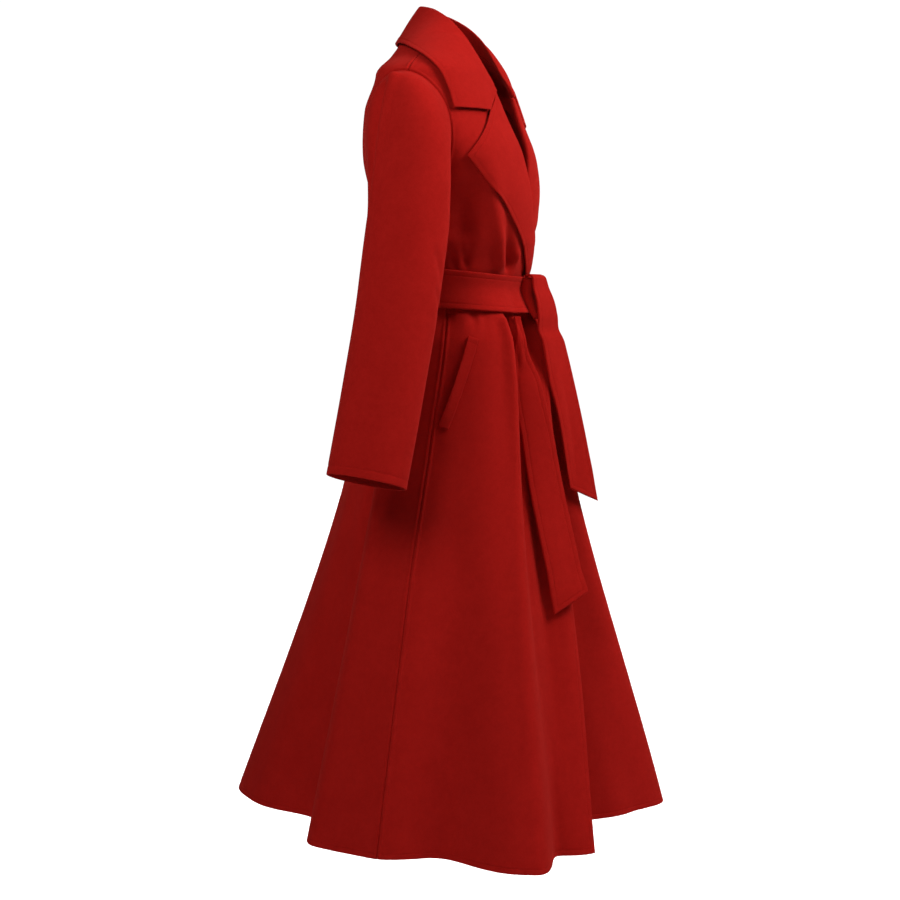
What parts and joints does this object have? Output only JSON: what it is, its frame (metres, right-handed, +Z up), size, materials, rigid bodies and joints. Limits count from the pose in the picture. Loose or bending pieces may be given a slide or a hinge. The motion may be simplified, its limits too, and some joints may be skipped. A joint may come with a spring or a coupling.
{
  "type": "belted coat",
  "caption": "Long belted wool coat in its worn, hollow form, with notched lapels, a turned-down collar, set-in sleeves, slanted welt pockets, a flared skirt and a tied belt.",
  "frame": {"origin": "middle of the neck, level with the neck ends of the shoulder seams, where the wearer's shoulders hold the coat", "axes": "+Z up the body, -Y the way the wearer faces, -X the wearer's right"},
  "size_m": [0.724, 0.6399, 1.2439],
  "materials": {
    "coat_wool": "soft matte felted red wool",
    "belt_wool": "soft matte felted red wool"
  },
  "bodies": {
    "root": {"back": "coat_wool", "front_right": "coat_wool", "front_left": "coat_wool", "sleeve_right": "coat_wool", "sleeve_left": "coat_wool", "collar": "coat_wool", "lapel_right": "coat_wool", "lapel_left": "coat_wool", "pocket_welt_right": "coat_wool", "pocket_welt_left": "coat_wool", "belt_band": "belt_wool", "belt_knot": "belt_wool", "belt_tail_near": "belt_wool", "belt_tail_far": "belt_wool"}
  },
  "joints": []
}
